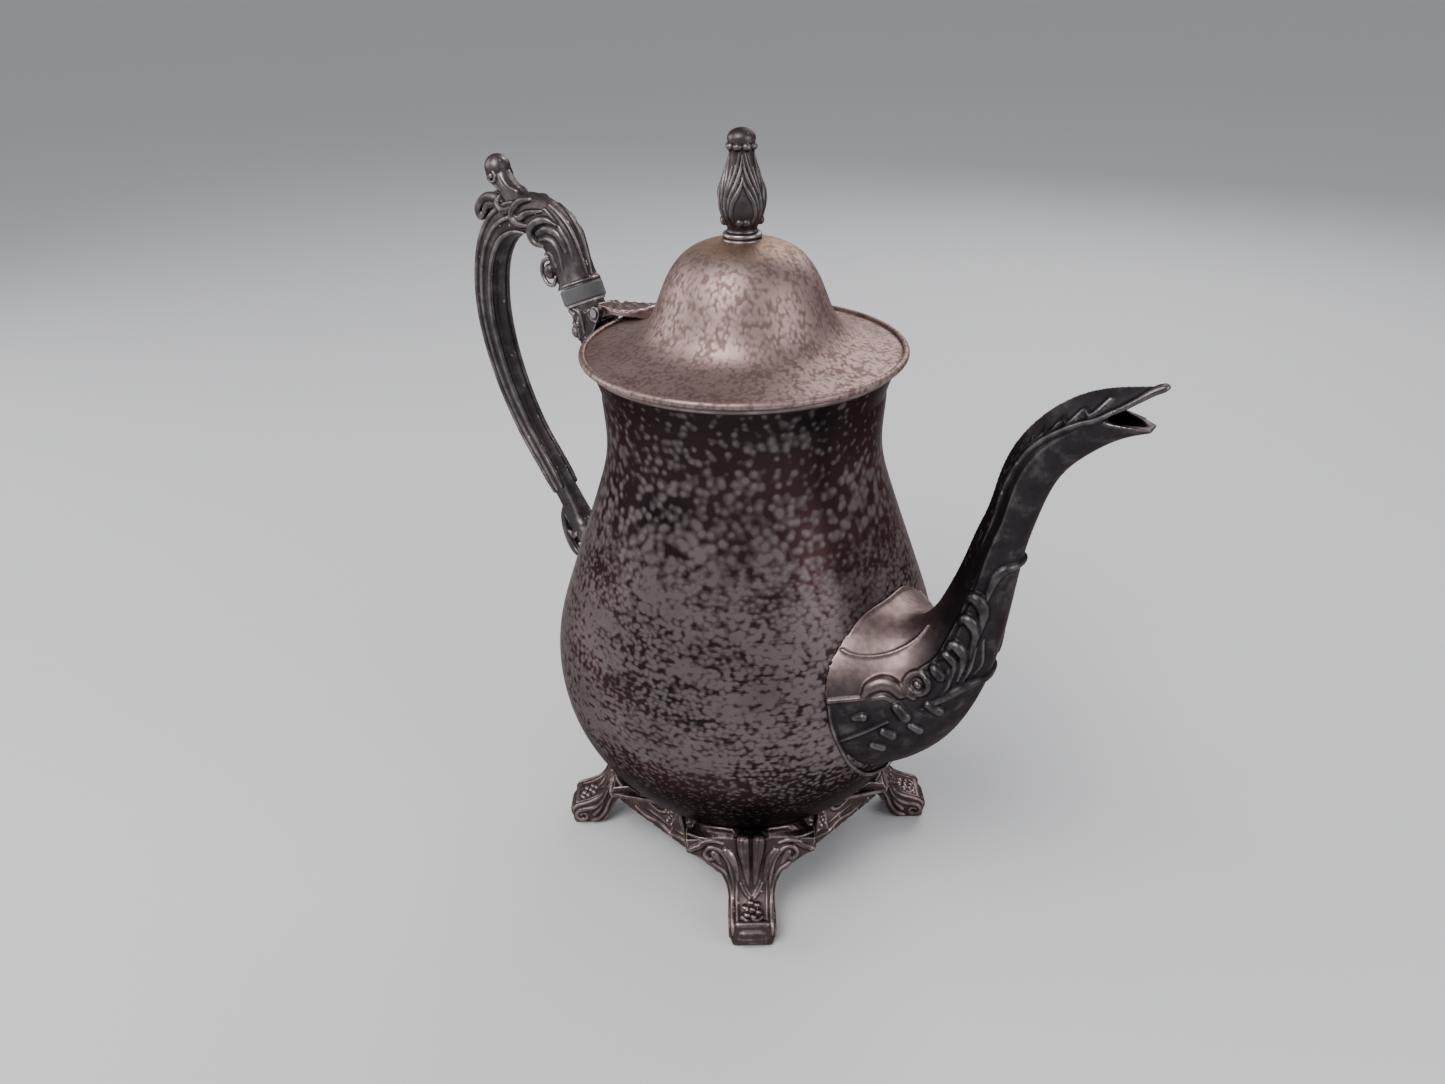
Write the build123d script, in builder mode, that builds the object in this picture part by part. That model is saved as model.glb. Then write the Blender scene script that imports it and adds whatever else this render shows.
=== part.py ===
from build123d import *
import math
import os

# Footed silverplate coffee pot with a hinged lid.
#
# Frame: millimetres, +Z up, origin on the pot's upright axis at the level the feet stand on.
# The spout points along +X, the handle along -X, and the lid hinge turns about a line along Y.

os.makedirs("parts", exist_ok=True)

# ---------------------------------------------------------------- driving dimensions
wall = 1.2                    # spun sheet of the body
lid_wall = 1.0                # spun sheet of the lid
base_turn = -3.5              # the base is soldered on this many degrees round from square

body_top_z = 196.3            # top edge of the body sheet
body_seam_z = 134.0           # planished seam between bowl and neck
port_z = 96.0                 # centre of the plain oval port that leads into the spout
port_half = (12.0, 17.0)      # its half width and half height
mouth_wire_radius = 1.3       # rolled wire round the mouth
mouth_wire_r = 50.2           # distance of that wire from the axis

lid_edge_r = 52.0             # edge of the lid sheet, where the bead starts
lid_edge_z = 199.9
lid_bead_r = 54.0             # outermost line of the lid bead
bezel_r = 45.4                # locating collar inside the lid
bezel_wall = 0.9
bezel_bottom_z = 187.5

hinge_x = -65.5
hinge_z = 200.5
knuckle_radius = 2.4
knuckle_half = 3.0            # half length of the leaf's knuckle
lug_gap = 0.3                 # side clearance between knuckle and lugs
lug_width = 2.6
hinge_pin_radius = 1.0
hinge_play = 0.05             # radial clearance of the pin in the leaf
leaf_half = 6.0               # half width of the hinge leaf
leaf_thick = 1.4

insulator_radius = 8.1
insulator_half = 2.9          # half thickness of the flange that shows
plate_thick = 0.8             # thin metal plate under each insulator
tenon_radius = 4.0
tenon_length = 8.0
pin_radius = 0.8              # cross pins through the tenons
fit = 0.03                    # radial clearance of pins and tenons in their holes
socket_radius = 6.7           # top of the upper socket's stem
pin_half = {"upper": (6.4, 6.5), "lower": (5.9, 6.4)}     # half length of each cross pin

foot_width = 15.5
toe_round = (2.4, 3.2)        # rounding of the toe's corners, seen from the front and from above
apron_wall = 3.2
apron_low = 13.5              # lower edge of the apron; its upper edge is trimmed by the body
apron_high = 33.5
apron_side_low = 86.0         # width across the apron at those two heights
apron_side_high = 78.0
apron_corner = 16.0
spout_wall = 1.7

# Outer profile of the body as (radius, height), from the pole at the bottom to the mouth.
body_profile = [
    (0.0, 13.5), (14.0, 15.2), (28.0, 20.6), (40.2, 28.2), (51.2, 38.2), (60.2, 50.5),
    (66.8, 65.0), (69.8, 82.0), (68.7, 98.0), (64.0, 114.0), (56.9, 134.0), (50.3, 153.0),
    (46.7, 172.0), (47.4, 186.0), (mouth_wire_r, body_top_z),
]
# Outer profile of the lid, from the crown out to the edge.
lid_profile = [
    (0.0, 235.3), (7.0, 235.0), (13.5, 233.5), (19.0, 230.4), (23.2, 225.5), (26.2, 219.5),
    (28.6, 213.5), (31.2, 208.8), (35.5, 205.0), (42.0, 202.4), (lid_edge_r, lid_edge_z),
]
# Finial, from the collar up to the tip.
collar_z = (234.2, 237.4)
collar_radius = 6.2
finial_neck = (4.7, 238.4)
finial_bud = [(7.2, 243.4), (7.9, 247.6), (5.8, 253.6), (3.9, 260.4)]
finial_cap = (4.5, 264.8)
finial_top_z = 268.0
stud_radius = 1.5

# Spout stations: ridge point and keel point in the XZ plane, half width, how far up from the
# keel it is widest, and how full its shoulders are (1 is an ellipse, 0 a straight roof).
spout_stations = [
    ((50.0, 125.0), (50.0, 50.0), 33.0, 0.62, 1.0),
    ((64.5, 124.8), (71.0, 66.5), 28.0, 0.60, 1.0),
    ((73.8, 126.2), (86.5, 82.5), 19.5, 0.55, 0.7),
    ((79.0, 132.0), (95.5, 101.0), 14.2, 0.50, 0.4),
    ((82.6, 140.0), (100.8, 122.0), 10.8, 0.46, 0.2),
    ((86.4, 150.5), (103.6, 145.5), 8.6, 0.44, 0.1),
    ((90.6, 164.5), (105.8, 163.0), 7.6, 0.44, 0.1),
    ((94.6, 179.5), (109.4, 177.5), 7.2, 0.46, 0.1),
    ((99.0, 193.0), (113.6, 187.4), 6.9, 0.50, 0.1),
    ((107.8, 205.0), (118.8, 194.0), 6.8, 0.50, 0.1),
    ((118.5, 212.8), (125.2, 199.8), 6.6, 0.50, 0.2),
    ((129.0, 216.4), (131.8, 203.8), 5.4, 0.50, 0.3),
    ((137.6, 218.8), (137.2, 206.2), 2.6, 0.50, 0.5),
]
mouth_corner = (123.4, 207.6)          # where the upper and lower lips part
upper_lip_tip = (137.4, 217.6)
lower_lip_tip = (135.4, 206.8)

# Handle: centre line in the XZ plane with half depth and half width, from the upper mouth round
# the grip to the lower mouth.
upper_joint = (-77.2, 204.6)           # centre of the upper insulator
upper_slope = -67.5                    # its axis, from the handle down to the pot
lower_joint = (-80.0, 101.3)
lower_slope = -10.0
handle_stations = [
    (-81.4, 215.6, 7.8, 6.6), (-87.6, 224.3, 9.0, 6.6), (-98.0, 229.6, 8.8, 6.2),
    (-110.5, 228.6, 8.2, 5.8), (-122.2, 221.8, 7.6, 5.4), (-129.8, 209.6, 7.3, 5.2),
    (-133.0, 192.0, 7.2, 5.2), (-131.0, 174.6, 7.0, 5.0), (-125.0, 157.0, 6.6, 4.8),
    (-115.8, 140.4, 6.3, 4.6), (-103.8, 125.6, 6.0, 4.6), (-94.6, 113.6, 5.6, 4.8),
]

thumb_root = (-112.5, 233.0)
thumb_bud = (-119.8, 245.0)
thumb_slope = 121.0
thumb_radius = 4.8
scroll_points = [(-93.5, 109.0), (-97.0, 97.5), (-91.0, 91.2)]


def thinned(points, distance):
    """An (r, z) profile moved square to itself; its first point stays on the axis."""
    moved = []
    for i, (r, z) in enumerate(points):
        r0, z0 = points[max(i - 1, 0)]
        r1, z1 = points[min(i + 1, len(points) - 1)]
        run, rise = r1 - r0, z1 - z0
        length = math.hypot(run, rise)
        moved.append((r - distance * rise / length, z + distance * run / length))
    moved[0] = (0.0, moved[0][1])
    return moved


def toward(point, slope, distance):
    """A point in the XZ plane moved along a slope in degrees."""
    a = math.radians(slope)
    return (point[0] + distance * math.cos(a), point[1] + distance * math.sin(a))


def cross_plane(x, z, slope):
    """Plane square to a line in the XZ plane: local x is +Y, local z runs along the line."""
    a = math.radians(slope)
    return Plane(origin=(x, 0, z), x_dir=(0, 1, 0), z_dir=(math.cos(a), 0, math.sin(a)))


def finish(part, name):
    """Label one piece and write it."""
    part.label = name
    export_step(part, f"parts/{name}.step")


# Turned profiles are drawn here, so that their seams lie away from spout and handle.
turning = Plane.YZ

# ---------------------------------------------------------------- body
with BuildPart() as body_form:            # the body's outer form, used only to trim its neighbours
    with BuildSketch(turning):
        with BuildLine():
            side = Spline(*body_profile, tangents=[(1, 0), (0.35, 1)])
            Polyline(side @ 1, (0, body_top_z), side @ 0)
        make_face()
    revolve(axis=Axis.Z)

body_inside = thinned(body_profile, wall)
body_inside[-1] = (body_inside[-1][0], body_top_z)
with BuildPart() as body_wall:            # the whole wall, before it is parted at the seam
    with BuildSketch(turning):
        with BuildLine():
            outer = Spline(*body_profile, tangents=[(1, 0), (0.35, 1)])
            inner = Spline(*body_inside, tangents=[(1, 0), (0.35, 1)])
            Line(outer @ 0, inner @ 0)
            Line(outer @ 1, inner @ 1)
        make_face()
    revolve(axis=Axis.Z)
    # port through the wall behind the spout
    with BuildSketch(Plane.YZ.offset(40)):
        with Locations((0, port_z)):
            Ellipse(*port_half)
    extrude(amount=40, mode=Mode.SUBTRACT)

with BuildPart() as body_shell:           # the bowl below the seam
    add(body_wall.part)
    split(bisect_by=Plane.XY.offset(body_seam_z), keep=Keep.BOTTOM)
finish(body_shell.part, "body_shell")

with BuildPart() as neck_shell:           # the neck above the seam, soldered edge to edge
    add(body_wall.part)
    split(bisect_by=Plane.XY.offset(body_seam_z), keep=Keep.TOP)
finish(neck_shell.part, "neck_shell")

with BuildPart() as mouth_wire:
    with BuildSketch(turning):
        with Locations((mouth_wire_r, body_top_z + mouth_wire_radius)):
            Circle(mouth_wire_radius)
        with Locations((mouth_wire_r - wall / 2, body_top_z + mouth_wire_radius / 4)):
            Rectangle(wall, mouth_wire_radius / 2)
    revolve(axis=Axis.Z)
finish(mouth_wire.part, "mouth_wire")


# ---------------------------------------------------------------- base, cast in four quarters
# Side view of a leg as (distance from the axis, height): out over the knee to the toe and back.
leg_profile = [
    (51.8, 33.0), (54.2, 27.0), (56.4, 21.0), (58.4, 16.2), (61.4, 12.9), (66.6, 10.6),
    (70.4, 8.8), (72.0, 5.6), (71.7, 1.4),
]
leg_back = [(62.8, 0.0), (59.6, 1.6), (56.6, 5.4), (53.8, 11.0), (50.6, 16.0), (45.0, 20.0)]
# Half of a leg seen from the front as (half width, height), from the toe up to the shell.
leg_front = [(7.75, 9.0), (8.2, 15.0), (10.4, 20.0), (15.5, 24.6), (22.5, 28.4)]


def foot_casting(azimuth):
    """One leg with its half of the two aprons beside it, trimmed to sit on the body."""
    turned = Plane.XY.rotated((0, 0, azimuth))
    along, across = turned.x_dir, turned.y_dir
    side_view = Plane(origin=(0, 0, 0), x_dir=along, z_dir=along.cross(Vector(0, 0, 1)))
    front_view = Plane(origin=(0, 0, 0), x_dir=across, z_dir=along)

    with BuildPart() as apron:             # one quarter of a rounded square band
        for inset in (0, 2 * apron_wall):
            for height, side in ((apron_low, apron_side_low), (apron_high, apron_side_high)):
                with BuildSketch(turned.offset(height)):
                    RectangleRounded(side - inset, side - inset, apron_corner - inset / 2, rotation=45)
            loft(mode=Mode.SUBTRACT if inset else Mode.ADD)
        with BuildSketch(turned):
            Polygon((0, 0), (90, 90), (90, -90), align=None)
        extrude(amount=50, mode=Mode.INTERSECT)

    with BuildPart() as leg:
        with BuildSketch(side_view):
            with BuildLine():
                knee = Spline(*leg_profile)
                back = Spline(*leg_back)
                Polyline(knee @ 1, (70.8, 0.0), back @ 0)
                Polyline(back @ 1, (39.0, 25.0), (46.0, 33.6), knee @ 0)
            make_face()
        extrude(amount=24, both=True)
        with BuildSketch(front_view.offset(30)):
            with BuildLine():
                right = Spline(*leg_front)
                left = Spline(*[(-x, z) for x, z in leg_front])
                low = foot_width / 2
                drop = toe_round[0]
                Line(right @ 0, (low, drop))
                ThreePointArc((low, drop), (low - 0.3 * drop, 0.3 * drop), (low - drop, 0))
                Line((low - drop, 0), (drop - low, 0))
                ThreePointArc((drop - low, 0), (0.3 * drop - low, 0.3 * drop), (-low, drop))
                Line((-low, drop), left @ 0)
                Polyline(right @ 1, (24, 36), (-24, 36), left @ 1)
            make_face()
        extrude(amount=50, mode=Mode.INTERSECT)
        with BuildSketch(turned):          # plan, with the toe's front corners rounded
            with Locations((30, 0)):
                Rectangle(60, 50)
            with Locations((56, 0)):
                RectangleRounded(32, foot_width + 0.6, toe_round[1])
        extrude(amount=40, mode=Mode.INTERSECT)

    with BuildPart() as casting:
        add(apron.part)
        add(leg.part)
        add(body_form.part, mode=Mode.SUBTRACT)
    return casting.part


for foot_name, quarter in (("front_left", 0), ("rear_left", 1), ("rear_right", 2), ("front_right", 3)):
    finish(foot_casting(base_turn + 45 + 90 * quarter), f"foot_{foot_name}")


# ---------------------------------------------------------------- spout
def spout_form(thin):
    """The spout's closed form, thinned all round by the given amount."""
    with BuildPart() as form:
        for ridge, keel, half, at, full in spout_stations:
            dx, dz = ridge[0] - keel[0], ridge[1] - keel[1]
            depth = math.hypot(dx, dz)
            plane = cross_plane(keel[0], keel[1], math.degrees(math.atan2(dz, dx)) - 90)
            low, top, side = thin, depth - thin, half - thin
            widest = low + at * (top - low)
            shoulder = top - (top - widest) * (0.165 * full + 0.55 * (1 - full))
            hip = low + (widest - low) * 0.31
            with BuildSketch(plane):
                with BuildLine():
                    ThreePointArc((0, top), (0.55 * side, shoulder), (side, widest))
                    ThreePointArc((side, widest), (0.72 * side, hip), (0, low))
                    ThreePointArc((0, low), (-0.72 * side, hip), (-side, widest))
                    ThreePointArc((-side, widest), (-0.55 * side, shoulder), (0, top))
                make_face()
        loft()
    return form.part


with BuildPart() as spout:
    add(spout_form(0))
    add(body_form.part, mode=Mode.SUBTRACT)
    add(spout_form(spout_wall), mode=Mode.SUBTRACT)
    # the mouth: a wedge between the pointed upper lip and the shorter lower lip
    with BuildSketch(Plane.XZ):
        Polygon(mouth_corner, upper_lip_tip, (146, 222), (146, 206), lower_lip_tip, align=None)
    extrude(amount=12, both=True, mode=Mode.SUBTRACT)
    with BuildSketch(Plane.XZ):
        Polygon(lower_lip_tip, (146, 207), (146, 196), (133.0, 196), align=None)
    extrude(amount=12, both=True, mode=Mode.SUBTRACT)
finish(spout.part, "spout")


# ---------------------------------------------------------------- handle joints
def joint_plane(joint, slope, distance):
    """Plane square to a joint's axis, at a distance towards the pot from its centre."""
    x, z = toward(joint, slope, distance)
    return cross_plane(x, z, slope)


def pin_places(joint, slope):
    """Where the two cross pins of a joint lie: one in the handle, one in the socket."""
    reach = insulator_half + plate_thick + tenon_length / 2
    return [toward(joint, slope, -reach), toward(joint, slope, reach)]


def pin_holes(joint, slope):
    """The cutter for both cross pin holes of a joint."""
    with BuildPart() as cutter:
        with BuildSketch(Plane.XZ):
            for x, z in pin_places(joint, slope):
                with Locations((x, z)):
                    Circle(pin_radius + fit)
        extrude(amount=20, both=True)
    return cutter.part


def tenon_pocket(joint, slope, side):
    """The cutter for the hole a tenon sits in: side is -1 for the handle and 1 for the socket."""
    with BuildPart() as cutter:
        with BuildSketch(joint_plane(joint, slope, side * insulator_half)):
            Circle(tenon_radius + fit)
        extrude(amount=side * (plate_thick + tenon_length))
    return cutter.part


def insulator(joint, slope):
    """A turned fibre ring with a tenon on each side, cross drilled for its two pins."""
    with BuildPart() as ring:
        with BuildSketch(joint_plane(joint, slope, -insulator_half)):
            Circle(insulator_radius)
        extrude(amount=2 * insulator_half)
        fillet(ring.edges().filter_by(GeomType.CIRCLE), 0.8)
        with BuildSketch(joint_plane(joint, slope, -insulator_half - tenon_length)):
            Circle(tenon_radius)
        extrude(amount=2 * (insulator_half + tenon_length))
        add(pin_holes(joint, slope), mode=Mode.SUBTRACT)
    return ring.part


joints = {"upper": (upper_joint, upper_slope), "lower": (lower_joint, lower_slope)}
for place, (joint, slope) in joints.items():
    finish(insulator(joint, slope), f"{place}_insulator")

    with BuildPart() as plate:
        with BuildSketch(joint_plane(joint, slope, insulator_half)):
            Circle(insulator_radius - 0.7)
            Circle(tenon_radius + fit, mode=Mode.SUBTRACT)
        extrude(amount=plate_thick)
    finish(plate.part, f"{place}_insulator_plate")

    for end, (x, z), half in zip(("handle", "socket"), pin_places(joint, slope), pin_half[place]):
        with BuildPart() as pin:
            with BuildSketch(Plane.XZ):
                with Locations((x, z)):
                    Circle(pin_radius)
            extrude(amount=half, both=True)
        finish(pin.part, f"{place}_{end}_pin")

# ---------------------------------------------------------------- upper socket with hinge lugs
socket_start = insulator_half + plate_thick
with BuildPart() as upper_socket:
    start = toward(upper_joint, upper_slope, socket_start)
    elbow = toward(start, upper_slope, 14.0)
    with BuildLine(Plane.XZ) as stem:
        FilletPolyline(start, elbow, (-42.0, 180.5), radius=9)
    with BuildSketch(cross_plane(start[0], start[1], upper_slope)):
        Circle(socket_radius)
    sweep(path=stem.line)
    for x, half_y, half_z in ((-43, 9.6, 11.0), (-55, 6.0, 6.4)):   # the foot soldered to the neck
        with BuildSketch(Plane.YZ.offset(x)):
            with Locations((0, 182.5)):
                Ellipse(half_y, half_z)
    loft()
    lug_inner = knuckle_half + lug_gap
    for side in (-1, 1):
        with BuildSketch(Plane.XZ.offset(-side * lug_inner)):
            with Locations((hinge_x, hinge_z)):
                Circle(knuckle_radius)
            Polygon(
                (hinge_x - 2.1, hinge_z + 1.1), (-75.0, 198.0), (-70.0, 188.0),
                (hinge_x + 2.3, hinge_z - 0.8), align=None,
            )
        extrude(amount=-side * lug_width)
    with BuildSketch(Plane.XZ):
        with Locations((hinge_x, hinge_z)):
            Circle(hinge_pin_radius + fit)
    extrude(amount=20, both=True, mode=Mode.SUBTRACT)
    add(tenon_pocket(upper_joint, upper_slope, 1), mode=Mode.SUBTRACT)
    add(pin_holes(upper_joint, upper_slope), mode=Mode.SUBTRACT)
    add(body_form.part, mode=Mode.SUBTRACT)
finish(upper_socket.part, "upper_socket")

with BuildPart() as lower_socket:
    start = toward(lower_joint, lower_slope, socket_start)
    end = toward(lower_joint, lower_slope, 20)
    with BuildSketch(cross_plane(start[0], start[1], lower_slope)):
        Circle(socket_radius - 0.4)
    with BuildSketch(cross_plane(end[0], end[1], lower_slope)):
        Ellipse(10.5, 12.5)
    loft()
    add(tenon_pocket(lower_joint, lower_slope, 1), mode=Mode.SUBTRACT)
    add(pin_holes(lower_joint, lower_slope), mode=Mode.SUBTRACT)
    add(body_form.part, mode=Mode.SUBTRACT)
finish(lower_socket.part, "lower_socket")

# ---------------------------------------------------------------- handle
with BuildPart() as handle:
    upper_mouth = toward(upper_joint, upper_slope, -insulator_half)
    lower_mouth = toward(lower_joint, lower_slope, -insulator_half)
    stations = [(*upper_mouth, 7.4, 7.4), *handle_stations, (*lower_mouth, 6.6, 6.6)]
    for i, (x, z, depth, half) in enumerate(stations):
        x0, z0 = stations[max(i - 1, 0)][:2]
        x1, z1 = stations[min(i + 1, len(stations) - 1)][:2]
        slope = math.degrees(math.atan2(z1 - z0, x1 - x0))
        if i == 0:
            slope = upper_slope + 180
        if i == len(stations) - 1:
            slope = lower_slope
        with BuildSketch(cross_plane(x, z, slope)):
            Ellipse(half, depth)
    loft()
    # thumb piece: a bud on a short curled neck
    with BuildSketch(cross_plane(*thumb_root, thumb_slope)):
        Ellipse(5.0, 6.0)
    with BuildSketch(cross_plane(*thumb_bud, thumb_slope)):
        Ellipse(3.2, 3.6)
    loft()
    with Locations((thumb_bud[0], 0, thumb_bud[1])):
        Sphere(thumb_radius)
    # the scroll that curls away below the lower mouth
    with BuildLine(Plane.XZ) as scroll:
        curl = ThreePointArc(*scroll_points)
    with BuildSketch(Plane(origin=curl @ 0, z_dir=curl % 0)):
        Circle(2.6)
    sweep(path=scroll.line)
    with Locations(curl @ 1):
        Sphere(3.2)
    for joint, slope in joints.values():
        add(tenon_pocket(joint, slope, -1), mode=Mode.SUBTRACT)
        add(pin_holes(joint, slope), mode=Mode.SUBTRACT)
finish(handle.part, "handle")

# ---------------------------------------------------------------- hinge pin
with BuildPart() as hinge_pin:
    with BuildSketch(Plane.XZ):
        with Locations((hinge_x, hinge_z)):
            Circle(hinge_pin_radius)
    extrude(amount=lug_inner + lug_width, both=True)
    for side in (-1, 1):
        with BuildSketch(Plane.XZ.offset(-side * (lug_inner + lug_width))):
            with Locations((hinge_x, hinge_z)):
                Circle(hinge_pin_radius + 0.6)
        extrude(amount=-side * 0.6)
finish(hinge_pin.part, "hinge_pin")

# ---------------------------------------------------------------- lid
lid_inside = thinned(lid_profile, -lid_wall)
lid_inside[-1] = (lid_edge_r, lid_edge_z - lid_wall)
lid_tangents = [(1, 0), (1, -0.2)]

with BuildPart() as above_sheet:          # everything above the underside of the lid sheet
    with BuildSketch(turning):
        with BuildLine():
            under = Spline(*lid_inside, tangents=lid_tangents)
            Polyline(under @ 1, (lid_edge_r, 260), (0, 260), under @ 0)
        make_face()
    revolve(axis=Axis.Z)

with BuildPart() as below_sheet:          # everything below the outside of the lid sheet
    with BuildSketch(turning):
        with BuildLine():
            over = Spline(*lid_profile, tangents=lid_tangents)
            Polyline(over @ 1, (lid_edge_r, 190), (0, 190), over @ 0)
        make_face()
    revolve(axis=Axis.Z)

with BuildPart() as lid_shell:
    with BuildSketch(turning):
        with BuildLine():
            over = Spline(*lid_profile, tangents=lid_tangents)
            under = Spline(*lid_inside, tangents=lid_tangents)
            Line(over @ 0, under @ 0)
            Line(over @ 1, under @ 1)
        make_face()
    revolve(axis=Axis.Z)
    with Locations((0, 0, 235)):
        Cylinder(stud_radius + fit, 10, mode=Mode.SUBTRACT)
finish(lid_shell.part, "lid_shell")

with BuildPart() as lid_bead:
    with BuildSketch(turning):
        with BuildLine():
            bead = ThreePointArc((lid_edge_r, 198.9), (lid_bead_r, 199.9), (lid_edge_r, 200.9))
            Line(bead @ 1, bead @ 0)
        make_face()
    revolve(axis=Axis.Z)
finish(lid_bead.part, "lid_bead")

with BuildPart() as lid_bezel:
    with BuildSketch(turning):
        Polygon(
            (bezel_r - bezel_wall, bezel_bottom_z), (bezel_r, bezel_bottom_z),
            (bezel_r, 206), (bezel_r - bezel_wall, 206), align=None,
        )
    revolve(axis=Axis.Z)
    add(above_sheet.part, mode=Mode.SUBTRACT)
finish(lid_bezel.part, "lid_bezel")

with BuildPart() as hinge_leaf:
    top = hinge_z + knuckle_radius
    with BuildSketch(Plane.XZ):
        with BuildLine():
            upper = Spline((hinge_x, top), (-56, top + 0.3), (-47, 204.4), (-40, 206.4), (-34.0, 209.4))
            Polyline(upper @ 1, (-33.6, 206.0), (-39.5, 202.6), (-44.5, 202.8))
            lower = Spline((-44.5, 202.8), (-50, 202.2), (-56, top - leaf_thick + 0.2), (hinge_x, top - leaf_thick))
            Line(lower @ 1, upper @ 0)
        make_face()
    extrude(amount=leaf_half, both=True)
    with BuildSketch(Plane.XY.offset(190)):
        with BuildLine():
            edge = Spline(
                (-61.6, -knuckle_half), (-59.0, -4.9), (-52, -leaf_half), (-43, -5.0),
                (-33.5, 0), (-43, 5.0), (-52, leaf_half), (-59.0, 4.9), (-61.6, knuckle_half),
            )
            Polyline(edge @ 1, (-69, knuckle_half), (-69, -knuckle_half), edge @ 0)
        make_face()
    extrude(amount=30, mode=Mode.INTERSECT)
    with BuildSketch(Plane.XZ):
        with Locations((hinge_x, hinge_z)):
            Circle(knuckle_radius)
    extrude(amount=knuckle_half, both=True)
    with BuildSketch(Plane.XZ):
        with Locations((hinge_x, hinge_z)):
            Circle(hinge_pin_radius + hinge_play)
    extrude(amount=20, both=True, mode=Mode.SUBTRACT)
    add(below_sheet.part, mode=Mode.SUBTRACT)
finish(hinge_leaf.part, "hinge_leaf")

# ---------------------------------------------------------------- finial and its fixing
with BuildPart() as finial_collar:
    with Locations((0, 0, (collar_z[0] + collar_z[1]) / 2)):
        Cylinder(collar_radius, collar_z[1] - collar_z[0])
    fillet(finial_collar.edges().sort_by(Axis.Z)[-1], 1.2)
    with Locations((0, 0, 235)):
        Cylinder(stud_radius + fit, 10, mode=Mode.SUBTRACT)
    add(below_sheet.part, mode=Mode.SUBTRACT)
finish(finial_collar.part, "finial_collar")

with BuildPart() as finial:
    with BuildSketch(turning):
        with BuildLine():
            Line((finial_neck[0], collar_z[1]), finial_neck)
            bud = Spline(finial_neck, *finial_bud, tangents=[(0.7, 1), (0, 1)])
            cap = Spline(bud @ 1, finial_cap, (0, finial_top_z), tangents=[(0, 1), (-1, 0)])
            Polyline(cap @ 1, (0, collar_z[1]), (finial_neck[0], collar_z[1]))
        make_face()
    revolve(axis=Axis.Z)
    with Locations((0, 0, collar_z[1])):
        Cylinder(stud_radius + fit, 2 * 9.0, mode=Mode.SUBTRACT)
finish(finial.part, "finial")

washer_z = (232.6, 234.6)
with BuildPart() as finial_washer:
    with BuildSketch(Plane.XY.offset(washer_z[0])):
        Circle(4.6)
        Circle(stud_radius + fit, mode=Mode.SUBTRACT)
    extrude(amount=washer_z[1] - washer_z[0])
    add(above_sheet.part, mode=Mode.SUBTRACT)
finish(finial_washer.part, "finial_washer")

with BuildPart() as finial_nut:
    with BuildSketch(Plane.XY.offset(washer_z[0] - 2.4)):
        RegularPolygon(3.2, 6)
        Circle(stud_radius + fit, mode=Mode.SUBTRACT)
    extrude(amount=2.4)
finish(finial_nut.part, "finial_nut")

with BuildPart() as finial_stud:
    with BuildSketch(Plane.XY.offset(washer_z[0] - 3.4)):
        Circle(stud_radius)
    extrude(amount=collar_z[1] + 8.5 - (washer_z[0] - 3.4))
finish(finial_stud.part, "finial_stud")
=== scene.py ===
import math

import bpy
import numpy as np
from mathutils import Matrix, Vector
from mathutils.bvhtree import BVHTree


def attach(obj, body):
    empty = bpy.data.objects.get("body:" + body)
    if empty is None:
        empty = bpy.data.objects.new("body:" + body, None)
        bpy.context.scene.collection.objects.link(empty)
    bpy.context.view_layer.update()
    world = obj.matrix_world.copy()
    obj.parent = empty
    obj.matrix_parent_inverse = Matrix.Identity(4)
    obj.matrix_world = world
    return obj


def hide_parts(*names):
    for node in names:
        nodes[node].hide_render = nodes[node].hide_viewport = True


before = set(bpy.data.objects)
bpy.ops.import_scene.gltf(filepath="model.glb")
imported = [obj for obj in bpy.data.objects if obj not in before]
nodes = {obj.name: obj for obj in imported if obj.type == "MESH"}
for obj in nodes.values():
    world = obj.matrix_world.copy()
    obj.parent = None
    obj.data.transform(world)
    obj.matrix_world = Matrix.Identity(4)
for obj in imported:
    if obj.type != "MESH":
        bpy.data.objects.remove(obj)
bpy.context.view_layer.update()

MM = 0.001

# ---------------------------------------------------------------- camera and stage


def view_axes(pitch, yaw, roll, turn):
    """Right, up and forward of a camera that looks down by pitch, in a frame turned about +Z."""
    forward = Vector((math.sin(yaw) * math.cos(pitch), math.cos(yaw) * math.cos(pitch), -math.sin(pitch)))
    right = Vector((math.cos(yaw), -math.sin(yaw), 0))
    up = right.cross(forward)
    turned = Matrix.Rotation(turn, 3, "Z")
    rolled_right = math.cos(roll) * right + math.sin(roll) * up
    rolled_up = -math.sin(roll) * right + math.cos(roll) * up
    return turned @ rolled_right, turned @ rolled_up, turned @ forward


def add_camera():
    """The camera stands about 0.46 m from the pot, above its lid, to the right of its front."""
    turn = math.radians(40.5)
    right, up, forward = view_axes(0.502, -0.023, -0.021, turn)
    data = bpy.data.cameras.new("view")
    data.sensor_width = 36.0
    data.lens = 26.704
    data.clip_start = 0.01
    camera = bpy.data.objects.new("view", data)
    place = Matrix.Rotation(turn, 4, "Z") @ Vector((-0.0004, -0.33935, 0.3133))
    camera.matrix_world = Matrix((
        (right.x, up.x, -forward.x, place.x),
        (right.y, up.y, -forward.y, place.y),
        (right.z, up.z, -forward.z, place.z),
        (0, 0, 0, 1),
    ))
    bpy.context.scene.collection.objects.link(camera)
    bpy.context.scene.camera = camera


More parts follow.
